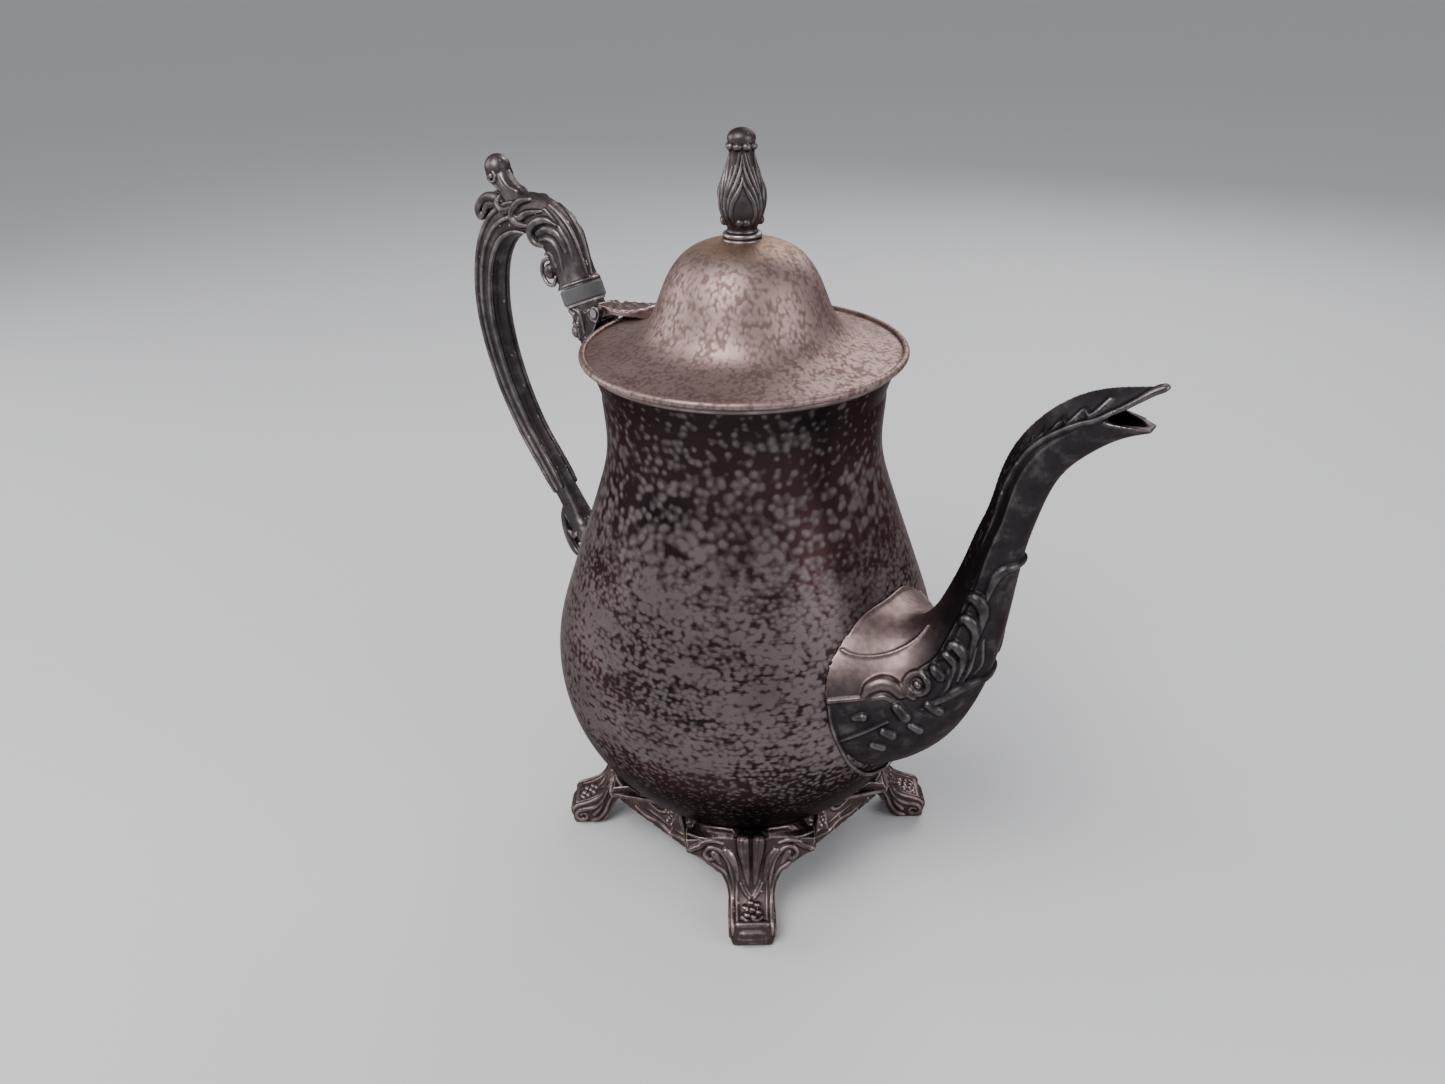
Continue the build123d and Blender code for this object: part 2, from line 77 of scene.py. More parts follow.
def add_light(name, place, target, size, watts, tint=(1, 1, 1)):
    """A square softbox of the given size in metres, aimed at a point."""
    data = bpy.data.lights.new(name, "AREA")
    data.shape = "SQUARE"
    data.size = size
    data.energy = watts
    data.color = tint
    light = bpy.data.objects.new(name, data)
    light.location = place
    light.rotation_euler = (Vector(target) - Vector(place)).to_track_quat("-Z", "Y").to_euler()
    bpy.context.scene.collection.objects.link(light)


def add_stage():
    """A pale floor, a pale grey room and four soft lights."""
    half = 40.0
    corners = [(-half, -half, 0), (half, -half, 0), (half, half, 0), (-half, half, 0)]
    mesh = bpy.data.meshes.new("floor")
    mesh.from_pydata(corners, [], [(0, 1, 2, 3)])
    floor = bpy.data.objects.new("floor", mesh)
    bpy.context.scene.collection.objects.link(floor)
    material = bpy.data.materials.new("floor_paper")
    material.use_nodes = True
    shader = material.node_tree.nodes["Principled BSDF"]
    shader.inputs["Base Color"].default_value = (0.60, 0.60, 0.61, 1)
    shader.inputs["Roughness"].default_value = 0.9
    mesh.materials.append(material)

    world = bpy.data.worlds.new("room")
    world.use_nodes = True
    world.node_tree.nodes["Background"].inputs["Color"].default_value = (0.80, 0.82, 0.86, 1)
    world.node_tree.nodes["Background"].inputs["Strength"].default_value = 0.55
    bpy.context.scene.world = world

    middle = (0, 0, 0.12)
    add_light("key", (0.05, -0.65, 0.95), middle, 0.6, 11)
    add_light("left", (-0.9, -0.5, 0.5), middle, 0.7, 5)
    add_light("right", (0.9, 0.1, 0.5), middle, 0.6, 4)
    add_light("back", (-0.2, 0.9, 0.8), middle, 0.7, 6)


# ---------------------------------------------------------------- materials


class Nodes:
    """A shorthand for building one material's node tree, in object coordinates."""

    def __init__(self, name):
        self.material = bpy.data.materials.new(name)
        self.material.use_nodes = True
        self.tree = self.material.node_tree
        self.shader = self.tree.nodes["Principled BSDF"]
        self.place = self.tree.nodes.new("ShaderNodeTexCoord").outputs["Object"]

    def link(self, source, target):
        self.tree.links.new(source, target)

    def new(self, kind, inputs=None, **settings):
        node = self.tree.nodes.new(kind)
        for key, value in settings.items():
            setattr(node, key, value)
        for key, value in (inputs or {}).items():
            if isinstance(value, bpy.types.NodeSocket):
                self.link(value, node.inputs[key])
            else:
                node.inputs[key].default_value = value
        return node

    def stretched(self, scale):
        """Object coordinates, multiplied by a number for each axis."""
        return self.new("ShaderNodeMapping", {"Vector": self.place, "Scale": scale}).outputs["Vector"]

    def noise(self, scale, detail=4.0, rough=0.55, vector=None):
        node = self.new("ShaderNodeTexNoise", {"Scale": scale, "Detail": detail, "Roughness": rough})
        self.link(vector or self.place, node.inputs["Vector"])
        return node.outputs["Fac"]

    def cells(self, scale, vector=None):
        """The distance from the middles of soft-edged cells."""
        node = self.new("ShaderNodeTexVoronoi", {"Scale": scale, "Randomness": 1.0}, feature="SMOOTH_F1")
        self.link(vector or self.place, node.inputs["Vector"])
        return node.outputs["Distance"]

    def ramp(self, value, *stops):
        """A colour ramp: each stop is (position, grey or colour)."""
        node = self.new("ShaderNodeValToRGB", {"Fac": value})
        elements = node.color_ramp.elements
        while len(elements) < len(stops):
            elements.new(0.5)
        for element, (position, colour) in zip(elements, stops):
            element.position = position
            if not isinstance(colour, tuple):
                colour = (colour, colour, colour)
            element.color = (*colour, 1)
        return node.outputs["Color"]

    def mix(self, factor, low, high):
        """Two colours mixed by a factor; these three are sockets 0, 6 and 7 of the node."""
        node = self.new("ShaderNodeMix", data_type="RGBA", blend_type="MIX")
        for index, value in ((0, factor), (6, low), (7, high)):
            if isinstance(value, bpy.types.NodeSocket):
                self.link(value, node.inputs[index])
            else:
                node.inputs[index].default_value = (*value, 1) if isinstance(value, tuple) else value
        return node.outputs[2]

    def math(self, operation, *values):
        node = self.new("ShaderNodeMath", operation=operation)
        for index, value in enumerate(values):
            if isinstance(value, bpy.types.NodeSocket):
                self.link(value, node.inputs[index])
            else:
                node.inputs[index].default_value = value
        return node.outputs[0]

    def bump(self, height, strength, distance):
        node = self.new("ShaderNodeBump", {"Height": height, "Strength": strength, "Distance": distance})
        self.link(node.outputs["Normal"], self.shader.inputs["Normal"])

    def height_bands(self, *stops):
        """A grey ramp over the height above the floor; stop positions are in metres."""
        full = 0.3
        z = self.new("ShaderNodeSeparateXYZ", {"Vector": self.place}).outputs["Z"]
        share = self.math("DIVIDE", z, full)
        return self.ramp(share, *[(height / full, value) for height, value in stops])


def body_material():
    """Tarnished plate: pale spots over a dark skin, joined and streaked round the belly."""
    m = Nodes("body_tarnish")
    warm = m.ramp(m.noise(17, 3), (0.36, 0.0), (0.62, 1.0))
    dark = m.mix(warm, (0.020, 0.015, 0.017), (0.056, 0.029, 0.028))
    low = m.height_bands((0.030, 0.0), (0.060, 0.15), (0.075, 1.0), (0.170, 1.0), (0.192, 0.35))
    dark = m.mix(low, (0.012, 0.011, 0.012), dark)
    pale = m.mix(m.noise(60, 4), (0.095, 0.078, 0.080), (0.225, 0.178, 0.176))
    pale = m.mix(low, (0.085, 0.080, 0.082), pale)
    # soft round spots on the neck, smaller and joined lower down
    wide = m.cells(370)
    small = m.cells(560, vector=m.stretched((1, 1, 1.25)))
    neck = m.height_bands((0.125, 0.0), (0.155, 1.0))
    spots = m.mix(neck, small, wide)
    fine = m.noise(900, 3, 0.6)
    wear = m.noise(34, 4, 0.6, m.stretched((1, 1, 1.5)))
    band = m.height_bands((0.014, 0.00), (0.050, 0.03), (0.062, 0.13), (0.082, 0.40), (0.108, 0.44),
                          (0.132, 0.40), (0.150, 0.42), (0.172, 0.34), (0.186, 0.14), (0.196, 0.02))
    # rubbed streaks round the belly
    streak = m.ramp(m.noise(1.0, 5, 0.62, m.stretched((20, 20, 700))), (0.40, 0.0), (0.62, 1.0))
    belly = m.height_bands((0.058, 0.0), (0.080, 1.0), (0.120, 1.0), (0.134, 0.25), (0.145, 0.0))
    level = m.math("ADD", m.math("MULTIPLY", wear, 0.62), m.math("MULTIPLY", band, 0.50))
    level = m.math("ADD", level, m.math("MULTIPLY", m.math("MULTIPLY", streak, belly), 0.17))
    level = m.math("ADD", level, m.math("MULTIPLY", fine, 0.10))
    cover = m.math("SUBTRACT", level, m.math("MULTIPLY", spots, 0.80))
    cover = m.ramp(cover, (0.11, 0.0), (0.36, 1.0))
    m.link(m.mix(cover, dark, pale), m.shader.inputs["Base Color"])
    m.shader.inputs["Metallic"].default_value = 1.0
    m.link(m.mix(cover, (0.38,) * 3, (0.46,) * 3), m.shader.inputs["Roughness"])
    m.shader.inputs["Specular Tint"].default_value = (0.50, 0.46, 0.46, 1)
    m.bump(m.math("ADD", cover, m.noise(900, 3)), 0.22, 0.00010)
    return m.material


def lid_material():
    """Coppery pink plate with a fine worn network, drawn out down the dome."""
    m = Nodes("lid_tarnish")
    base = m.mix(m.noise(30, 4), (0.24, 0.165, 0.150), (0.37, 0.272, 0.252))
    drawn = m.stretched((1, 1, 0.62))
    spots = m.cells(860, vector=drawn)
    wear = m.noise(220, 5, 0.62, drawn)
    cover = m.ramp(m.math("SUBTRACT", wear, m.math("MULTIPLY", spots, 0.75)), (0.02, 0.0), (0.26, 1.0))
    dark = m.mix(m.noise(60, 3), (0.135, 0.085, 0.076), (0.215, 0.145, 0.132))
    colour = m.mix(cover, dark, base)
    deposit = m.height_bands((0.2315, 0.0), (0.2335, 0.75), (0.30, 0.75))
    ragged = m.math("MULTIPLY", deposit, m.ramp(m.noise(500, 4), (0.40, 0.2), (0.60, 1.0)))
    colour = m.mix(ragged, colour, (0.36, 0.23, 0.14))
    m.link(colour, m.shader.inputs["Base Color"])
    m.shader.inputs["Metallic"].default_value = 1.0
    m.link(m.mix(cover, (0.58,) * 3, (0.48,) * 3), m.shader.inputs["Roughness"])
    m.shader.inputs["Specular Tint"].default_value = (0.75, 0.68, 0.66, 1)
    m.bump(m.math("ADD", cover, m.noise(1100, 3)), 0.28, 0.00012)
    return m.material


def cast_material(name, hollow_tarnish_and_shade, field, edge, low=0.44, high=0.56, rosy=None):
    """Dark tarnish and painted shade in the hollows of a casting, worn brighter on its raised edges.

    rosy: two x and two z between which a coppery tone fades out and in.
    """
    m = Nodes(name)
    point = m.new("ShaderNodeNewGeometry").outputs["Pointiness"]
    grime = m.noise(160, 4, 0.6)
    # worn is the casting's relief (pointiness): low values paint shade into the hollows, and high values
    # mark wear on raised edges
    worn = m.math("ADD", point, m.math("MULTIPLY", m.math("SUBTRACT", grime, 0.5), 0.10))
    tone = m.mix(m.noise(110, 5), tuple(0.80 * c for c in field), tuple(1.20 * c for c in field))
    # painted shade: the hollows take the near-black colour, which is partly real tarnish and partly painted
    # occlusion shade
    shade = m.mix(m.ramp(worn, (low, 0.0), (0.5, 1.0)), hollow_tarnish_and_shade, tone)
    shade = m.mix(m.ramp(worn, (0.505, 0.0), (high, 1.0)), shade, edge)
    if rosy:
        full = 0.1
        x = m.new("ShaderNodeSeparateXYZ", {"Vector": m.place}).outputs["X"]
        near = m.ramp(m.math("DIVIDE", x, full), (rosy[0] / full, 1.0), (rosy[1] / full, 0.0))
        zone = m.math("MULTIPLY", near, m.height_bands((rosy[2], 0.0), (rosy[3], 1.0)))
        patches = m.ramp(m.noise(420, 5), (0.32, 0.55), (0.66, 1.0))
        shade = m.mix(m.math("MULTIPLY", zone, patches), shade, (0.24, 0.172, 0.162))
    m.link(shade, m.shader.inputs["Base Color"])
    m.shader.inputs["Metallic"].default_value = 1.0
    m.link(m.ramp(worn, (low, 0.55), (high, 0.33)), m.shader.inputs["Roughness"])
    m.shader.inputs["Specular Tint"].default_value = (0.55, 0.50, 0.50, 1)
    m.bump(m.noise(1300, 3), 0.18, 0.00008)
    return m.material


def insulator_material():
    """Matte grey fibre with a faint turned grain."""
    m = Nodes("insulator_fibre")
    tone = m.mix(m.noise(300, 5, 0.65), (0.045, 0.044, 0.046), (0.095, 0.093, 0.096))
    m.link(tone, m.shader.inputs["Base Color"])
    m.shader.inputs["Roughness"].default_value = 0.62
    m.bump(m.noise(1800, 3), 0.3, 0.0001)
    return m.material


def give(obj, material):
    """All of an object's slots get one material."""
    obj.data.materials.clear()
    obj.data.materials.append(material)


# ---------------------------------------------------------------- shaping tools (millimetres)


def smooth_line(rows, steps=6):
    """A Catmull-Rom line through rows of numbers (a place, and often a radius)."""
    rows = np.array(rows, float)
    p = np.vstack([2 * rows[0] - rows[1], rows, 2 * rows[-1] - rows[-2]])
    out = []
    for i in range(1, len(p) - 2):
        for t in np.arange(steps) / steps:
            bend = 2 * p[i - 1] - 5 * p[i] + 4 * p[i + 1] - p[i + 2]
            twist = 3 * p[i] - p[i - 1] - 3 * p[i + 1] + p[i + 2]
            out.append(0.5 * (2 * p[i] + (p[i + 1] - p[i - 1]) * t + bend * t * t + twist * t ** 3))
    out.append(rows[-1])
    return np.array(out)


def unit(v):
    return v / max(np.linalg.norm(v), 1e-9)


class Skin:
    """The outside of a CAD node, for laying relief on it."""

    def __init__(self, node):
        mesh = nodes[node].data
        points = [v.co / MM for v in mesh.vertices]
        self.tree = BVHTree.FromPolygons(points, [p.vertices for p in mesh.polygons])

    def seen_from(self, place, direction):
        """The first point met from far outside, looking along a direction, and the skin's normal."""
        far = 300
        direction = Vector(direction).normalized()
        start = Vector(place) - far * direction
        hit, normal, _, _ = self.tree.ray_cast(start, direction)
        if hit is None:
            hit, normal, _, _ = self.tree.find_nearest(Vector(place))
        if normal.dot(direction) > 0:
            normal = -normal
        return np.array(hit), np.array(normal)

    def side(self, x, z, side):
        """The point at (x, z) on the -Y side (side -1) or the +Y side (side 1)."""
        hit, _ = self.seen_from((x, 0, z), (0, -side, 0))
        return hit


class Casting:
    """Closed lumps that are fused into one skin."""

    def __init__(self, *copied):
        self.verts, self.faces, self.count = [], [], 0
        for node in copied:
            mesh = nodes[node].data
            place = np.empty(3 * len(mesh.vertices), np.float32)
            mesh.vertices.foreach_get("co", place)
            self.add(place.reshape(-1, 3) / MM, [tuple(p.vertices) for p in mesh.polygons])

    def add(self, verts, faces):
        self.verts.append(np.asarray(verts, float))
        self.faces += [tuple(i + self.count for i in face) for face in faces]
        self.count += len(verts)

    def rings(self, rings):
        """A closed lump through rings of equally many points."""
        rings = [np.asarray(r, float) for r in rings]
        n = len(rings[0])
        verts = np.vstack(rings + [rings[0].mean(0)[None], rings[-1].mean(0)[None]])
        last = len(rings) - 1
        faces = []
        for j in range(last):
            for i in range(n):
                k = (i + 1) % n
                faces.append((j * n + i, j * n + k, (j + 1) * n + k, (j + 1) * n + i))
        for i in range(n):
            k = (i + 1) % n
            faces.append((n * (last + 1), k, i))
            faces.append((n * (last + 1) + 1, last * n + i, last * n + k))
        self.add(verts, faces)

    def tube(self, rows, steps=6):
        """A round rod with rounded ends through rows of (x, y, z, radius)."""
        line = smooth_line(rows, steps)
        path, radius = line[:, :3], line[:, 3]
        along = np.gradient(path, axis=0)
        first, last = unit(along[0]), unit(along[-1])
        side = unit(np.cross(first, (0.31, 0.83, 0.46)))
        turns = np.arange(12) / 12 * 2 * math.pi
        rings = []
        for share in (0.97, 0.75, 0.4):
            end = path[0] - first * radius[0] * share
            rings.append((end, first, radius[0] * math.sqrt(1 - share ** 2)))
        for i in range(len(path)):
            rings.append((path[i], unit(along[i]), radius[i]))
        for share in (0.4, 0.75, 0.97):
            end = path[-1] + last * radius[-1] * share
            rings.append((end, last, radius[-1] * math.sqrt(1 - share ** 2)))
        loops = []
        for centre, direction, size in rings:
            side = unit(side - direction * side.dot(direction))
            other = np.cross(direction, side)
            loops.append(centre + size * (np.outer(np.cos(turns), side) + np.outer(np.sin(turns), other)))
        self.rings(loops)

    def ball(self, centre, radii):
        """A sphere of one radius, or an ellipsoid of three along X, Y and Z."""
        sides = 32
        turns = np.arange(sides) / sides * 2 * math.pi
        rings = []
        for polar in np.linspace(0.05, math.pi - 0.05, 20):
            level = np.full(sides, np.cos(polar))
            local = np.stack([np.sin(polar) * np.cos(turns), np.sin(polar) * np.sin(turns), level], 1)
            rings.append(np.array(centre) + local * (np.ones(3) * radii))
        self.rings(rings)

    def both_sides(self, skin, rows):
        """A stroke of (x, z, radius) rows, laid on the -Y and the +Y side of a skin."""
        line = smooth_line(rows)
        for side in (-1, 1):
            self.tube([(*skin.side(x, z, side), r) for x, z, r in line], steps=1)

    def fuse(self, name, voxel):
        """One mesh object of all the lumps, remeshed to a voxel size and smoothed."""
        mesh = bpy.data.meshes.new(name + "_raw")
        mesh.from_pydata(np.vstack(self.verts) * MM, [], self.faces)
        raw = bpy.data.objects.new(name + "_raw", mesh)
        bpy.context.scene.collection.objects.link(raw)
        remesh = raw.modifiers.new("fuse", "REMESH")
        remesh.mode = "VOXEL"
        remesh.voxel_size = voxel * MM
        soften = raw.modifiers.new("soften", "SMOOTH")
        soften.factor = 0.5
        soften.iterations = 2
        shaped = raw.evaluated_get(bpy.context.evaluated_depsgraph_get())
        final = bpy.data.meshes.new_from_object(shaped)
        bpy.data.objects.remove(raw)
        return piece_of(name, final)


def piece_of(name, mesh):
    """A linked, smooth-shaded object around a mesh."""
    mesh.name = name
    mesh.shade_smooth()
    obj = bpy.data.objects.new(name, mesh)
    bpy.context.scene.collection.objects.link(obj)
    return obj


def turned(line):
    """A casting turned about the pot's axis, from the (radius, height) rows that lie off the axis."""
    sides = 96
    turns = np.arange(sides) / sides * 2 * math.pi
    off_axis = [(r, z) for r, z in line if r > 0.02]
    cast = Casting()
    cast.rings([np.stack([r * np.cos(turns), r * np.sin(turns), np.full(sides, z)], 1) for r, z in off_axis])
    return cast


def settle(obj, look, body, slot, *replaced):
    """Material, body and the CAD nodes that a piece stands for. The slot argument is not used."""
    give(obj, look)
    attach(obj, body)
    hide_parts(*replaced)


def spiral(centre, start, end, turns, begin, thick):
    """Rows (x, z, radius of the rod) of a scroll that winds in from radius start to radius end."""
    rows = []
    steps = int(10 * abs(turns)) + 1
    for i in range(steps + 1):
        share = i / steps
        angle = math.radians(begin) + turns * 2 * math.pi * share
        reach = start + (end - start) * share
        size = thick[0] + (thick[1] - thick[0]) * share
        rows.append((centre[0] + reach * math.cos(angle), centre[1] + reach * math.sin(angle), size))
    return rows


# ---------------------------------------------------------------- spout


def make_spout():
    """The CAD spout with its leaf relief, bars, drops, rolled beak and joint bead."""
    skin = Skin("spout")
    cast = Casting("spout")
    strokes = [
        # line that borders the roof from the knee up to the beak
        [(94.4, 160.0, 0.3), (97.4, 171.0, 0.7), (98.7, 178.0, 0.9), (101.4, 186.3, 1.0),
         (105.3, 193.6, 1.0), (109.3, 198.2, 1.0), (113.6, 201.8, 1.0), (118.4, 205.2, 0.9),
         (122.6, 207.4, 0.8), (126.6, 210.4, 0.7)],
        # crease that borders the flat front from the volute up
        [(83.4, 116.4, 0.9), (87.3, 121.1, 0.8), (89.4, 127.0, 0.8), (91.6, 135.0, 0.7), (93.6, 143.0, 0.6),
         (95.6, 153.0, 0.3)],
        # leaf tips that turn over the keel
        [(98.6, 140.0, 0.4), (99.6, 147.0, 1.0), (101.0, 152.8, 1.5), (103.0, 155.9, 1.5),
         (105.4, 156.2, 1.1)],
        [(86.0, 103.6, 0.5), (90.0, 107.2, 1.2), (94.0, 111.2, 1.7), (97.2, 113.8, 1.6), (99.6, 113.0, 1.1)],
        # bars and the crescent of the root
        [(60.8, 103.2, 0.9), (65.6, 104.4, 0.9), (70.2, 105.3, 0.7)],
        [(64.4, 87.8, 0.7), (70.6, 92.4, 0.8), (77.4, 97.8, 0.6)],
        [(70.0, 106.6, 1.3), (70.9, 108.8, 2.2), (73.4, 110.4, 2.6), (76.4, 110.2, 2.6), (79.6, 108.2, 1.9)],
        [(72.4, 105.2, 0.6), (75.2, 106.4, 1.0), (78.0, 105.4, 0.7)],
        spiral((83.9, 112.0), 4.1, 2.6, -1.1, 260, (1.35, 1.05)),
        [(83.5, 112.3, 1.2), (84.1, 111.9, 1.2)],
        # drops
        [(68.4, 98.1, 1.0), (70.8, 98.9, 1.7)], [(79.5, 103.6, 1.9), (81.8, 100.4, 2.2)],
        [(76.4, 93.6, 1.6), (78.4, 92.2, 1.9)], [(73.2, 87.0, 1.4), (75.4, 85.9, 1.6)],
        [(87.6, 105.6, 1.5), (90.2, 103.0, 1.8)], [(83.2, 96.6, 1.2), (85.2, 94.4, 1.5)],
        [(87.8, 118.6, 1.8), (89.8, 116.6, 1.9)],
        # sweeping veins under the lobes
        [(98.0, 128.0, 0.7), (97.0, 120.0, 0.8), (94.4, 112.4, 0.5)],
        [(99.6, 131.0, 0.5), (99.3, 122.0, 0.7), (97.8, 117.4, 0.4)],
        [(92.0, 119.0, 0.7), (92.4, 114.0, 0.7), (90.6, 109.6, 0.4)],
    ]
    # lobes of the leaf that climbs the front: tips at these places, each curling over its neighbour
    for x, z, size in ((96.3, 144.6, 2.0), (94.9, 137.0, 1.8), (92.6, 127.4, 1.7), (90.6, 123.4, 1.3)):
        strokes.append([
            (x + 1.8, z - 14 * size / 2, 0.6), (x + 2.8, z - 4.4 * size / 2, 0.85 * size),
            (x + 1.4, z - 0.2, 1.15 * size), (x - 0.4, z + 0.7, 1.05 * size), (x - 1.7, z - 0.9, 0.7 * size),
        ])
    # feathered leaf on the roof behind the beak
    for x, z, reach in ((97.4, 184.6, 3.0), (99.4, 189.0, 3.2), (101.8, 192.8, 3.4), (104.8, 196.6, 3.8),
                        (108.2, 200.2, 4.6), (113.0, 204.4, 5.4), (118.6, 208.2, 6.0)):
        strokes.append([(x, z + 0.6, 0.35), (x + 0.42 * reach, z - 0.1, 0.75),
                        (x + 0.95 * reach, z + 0.75 * reach, 0.6)])
    for rows in strokes:
        cast.both_sides(skin, rows)
    # rolled edge of the beak: up to the tip, and round the lower lip
    for side in (-1, 1):
        cast.tube([(122.6, side * 5.2, 207.6, 0.8), (127.6, side * 4.6, 211.0, 0.8),
                   (131.2, side * 3.2, 213.9, 0.9), (134.2, side * 1.6, 216.4, 1.1),
                   (136.3, side * 0.5, 217.6, 1.1)], 5)
        cast.tube([(123.6, side * 5.3, 207.4, 0.7), (128.4, side * 4.6, 206.5, 0.7),
                   (132.2, side * 2.9, 206.0, 0.75), (134.2, 0, 206.0, 0.8)], 5)
    # bead along the joint with the body, as (azimuth, height)
    body = Skin("body_shell")
    joint = [(0, 125.7), (7, 125.6), (11.8, 124.7), (16.4, 121.8), (19.8, 117.8), (23.5, 112.6),
             (26.2, 105.0), (26.9, 98.1), (25.9, 91.0), (23.6, 83.6), (19.8, 74.6), (11.5, 63.8), (0, 57.4)]
    for side in (-1, 1):
        rows = []
        for azimuth, z in smooth_line(joint, 4):
            angle = math.radians(side * azimuth)
            hit, _ = body.seen_from((0, 0, z), (-math.cos(angle), -math.sin(angle), 0))
            rows.append((*(hit + 0.5 * unit(hit * (1, 1, 0))), 0.75))
        cast.tube(rows, 1)
    # beads along the seam of the smooth leaf on the root
    seam = smooth_line([(59.6, 118.2), (63.2, 117.2), (67.6, 117.0), (71.6, 117.8), (75.2, 119.9),
                        (78.2, 123.2), (79.8, 127.0)], 5)
    for x, z in seam:
        for side in (-1, 1):
            cast.ball(skin.side(x, z, side), 0.62)
    return cast.fuse("cast_spout", 0.42)


# ---------------------------------------------------------------- handle

grip = [(-78.4, 207.4, 8.0, 8.0), (-79.4, 210.2, 6.9, 6.9), (-81.8, 215.6, 7.4, 6.2),
        (-87.6, 224.3, 8.6, 6.2), (-98.0, 229.6, 8.2, 5.7), (-110.5, 228.6, 7.6, 5.2),
        (-122.2, 221.8, 6.9, 4.7), (-129.8, 209.6, 6.6, 4.5), (-133.0, 192.0, 6.5, 4.5),
        (-131.0, 174.6, 6.3, 4.3), (-125.0, 157.0, 5.9, 4.1), (-115.8, 140.4, 5.6, 3.9),
        (-103.8, 125.6, 5.3, 4.0), (-94.6, 113.6, 5.0, 4.3), (-88.4, 105.0, 5.4, 5.4),
        (-83.0, 101.9, 6.6, 6.6)]


def grip_frames():
    """Along the grip: centre, outward direction in the XZ plane, half depth and half width."""
    line = smooth_line(grip, 8)
    path = line[:, :2]
    along = np.gradient(path, axis=0)
    along /= np.linalg.norm(along, axis=1)[:, None]
    outward = np.stack([along[:, 1], -along[:, 0]], 1)
    return path, outward, line[:, 2], line[:, 3]


def make_handle():
    """The grip with its mouldings, acanthus, scrolls and thumb piece."""
    cast = Casting()
    path, outward, depth, half = grip_frames()
    turns = np.arange(36) / 36 * 2 * math.pi
    rings = []
    for centre, out, d, w in zip(path, outward, depth, half):
        n = np.where(np.sin(turns) > 0, d * np.sin(turns), -0.90 * d * np.abs(np.sin(turns)) ** 0.55)
        y = w * np.sign(np.cos(turns)) * np.abs(np.cos(turns)) ** 0.85
        rings.append(np.stack([centre[0] + n * out[0], y, centre[1] + n * out[1]], 1))
    cast.rings(rings)
    # three raised mouldings down each side of the grip
    start, end = 34, len(path) - 18
    for share, spread, size in ((0.62, 0.90, 0.95), (-0.02, 1.05, 0.9), (-0.72, 0.98, 0.95)):
        for side in (-1, 1):
            rows = []
            for i in range(start, end, 3):
                place = path[i] + share * depth[i] * outward[i]
                fade = min(1.0, 0.35 + 0.12 * (i - start), 0.35 + 0.12 * (end - i))
                rows.append((place[0], side * spread * half[i], place[1], size * fade))
            cast.tube(rows, steps=3)

    def pair(rows, y):
        """A rod of (x, z, radius) rows on both sides, at one distance y or at one for each row."""
        away = [y] * len(rows) if np.isscalar(y) else y
        for side in (-1, 1):
            cast.tube([(x, side * reach, z, r) for (x, z, r), reach in zip(rows, away)])

    # acanthus over the head: scrolled edge in three rolls, and ribs that run down to the mouth
    pair([(-115.2, 235.8, 0.8), (-116.4, 233.2, 1.4), (-112.6, 231.2, 1.6), (-107.8, 232.2, 1.4),
          (-102.4, 236.0, 0.7)],
         (3.4, 4.4, 5.3, 5.3, 4.0))
    pair([(-97.6, 236.4, 0.7), (-102.2, 235.4, 1.4), (-106.0, 232.2, 1.6), (-106.6, 229.0, 1.6),
          (-103.6, 227.2, 1.4), (-98.2, 227.2, 0.7)], (4.1, 4.8, 5.4, 5.7, 5.8, 5.7))
    pair([(-90.8, 233.2, 0.5), (-97.2, 232.0, 1.2), (-101.8, 229.9, 1.5)], (5.0, 5.7, 5.8))
    pair([(-83.6, 229.2, 0.6), (-88.2, 230.6, 1.3), (-93.8, 228.8, 1.6), (-96.6, 225.2, 1.6),
          (-95.2, 221.8, 1.4), (-90.6, 220.8, 0.7)], (4.9, 5.8, 6.2, 6.2, 5.9, 5.9))
    pair([(-93.2, 225.2, 1.4), (-88.0, 227.2, 1.8), (-82.6, 226.0, 1.5), (-79.2, 220.6, 0.8)],
         (5.2, 5.2, 5.0, 5.0))
    pair([(-92.4, 222.8, 0.6), (-86.0, 223.8, 0.9), (-81.8, 219.6, 0.7), (-80.2, 213.6, 0.4)],
         (5.6, 6.0, 6.0, 6.2))
    pair([(-90.6, 217.8, 0.5), (-86.6, 218.8, 0.9), (-83.6, 214.6, 0.6)], (5.2, 5.7, 6.1))
    pair([(-89.0, 235.2, 0.4), (-82.9, 231.5, 0.7), (-78.0, 226.0, 0.8), (-74.9, 218.5, 0.7),
          (-72.9, 211.6, 0.6)],
         (2.4, 2.2, 1.9, 1.4, 1.0))
    pair([(-90.0, 234.0, 0.4), (-84.2, 229.8, 0.8), (-79.2, 223.8, 0.8), (-76.4, 216.0, 0.5)],
         (4.0, 4.0, 3.9, 4.1))
    # roll with a ball under the head
    for side in (-1, 1):
        cast.ball((-91.0, side * 3.4, 211.2), (2.5, 2.0, 2.9))
    pair([(-89.0, 216.6, 0.8), (-93.4, 214.6, 0.8), (-94.6, 210.4, 0.8), (-92.2, 206.8, 0.8),
          (-88.6, 206.6, 0.8), (-87.0, 209.8, 0.7)], 4.1)
    cast.tube([(-86.4, 0, 216.0, 4.4), (-89.6, 0, 211.6, 3.9), (-88.2, 0, 208.4, 3.0)], 6)
    # mouth ring against the insulator
    ring = []
    mouth_radius = 7.3
    mouth = math.radians(-67.5)
    across = np.array((-math.sin(mouth), math.cos(mouth)))
    for i in range(25):
        turn = 2 * math.pi * i / 24
        place = np.array((-78.7, 208.3)) + mouth_radius * math.cos(turn) * across
        ring.append((place[0], mouth_radius * math.sin(turn), place[1], 0.75))
    cast.tube(ring, 1)
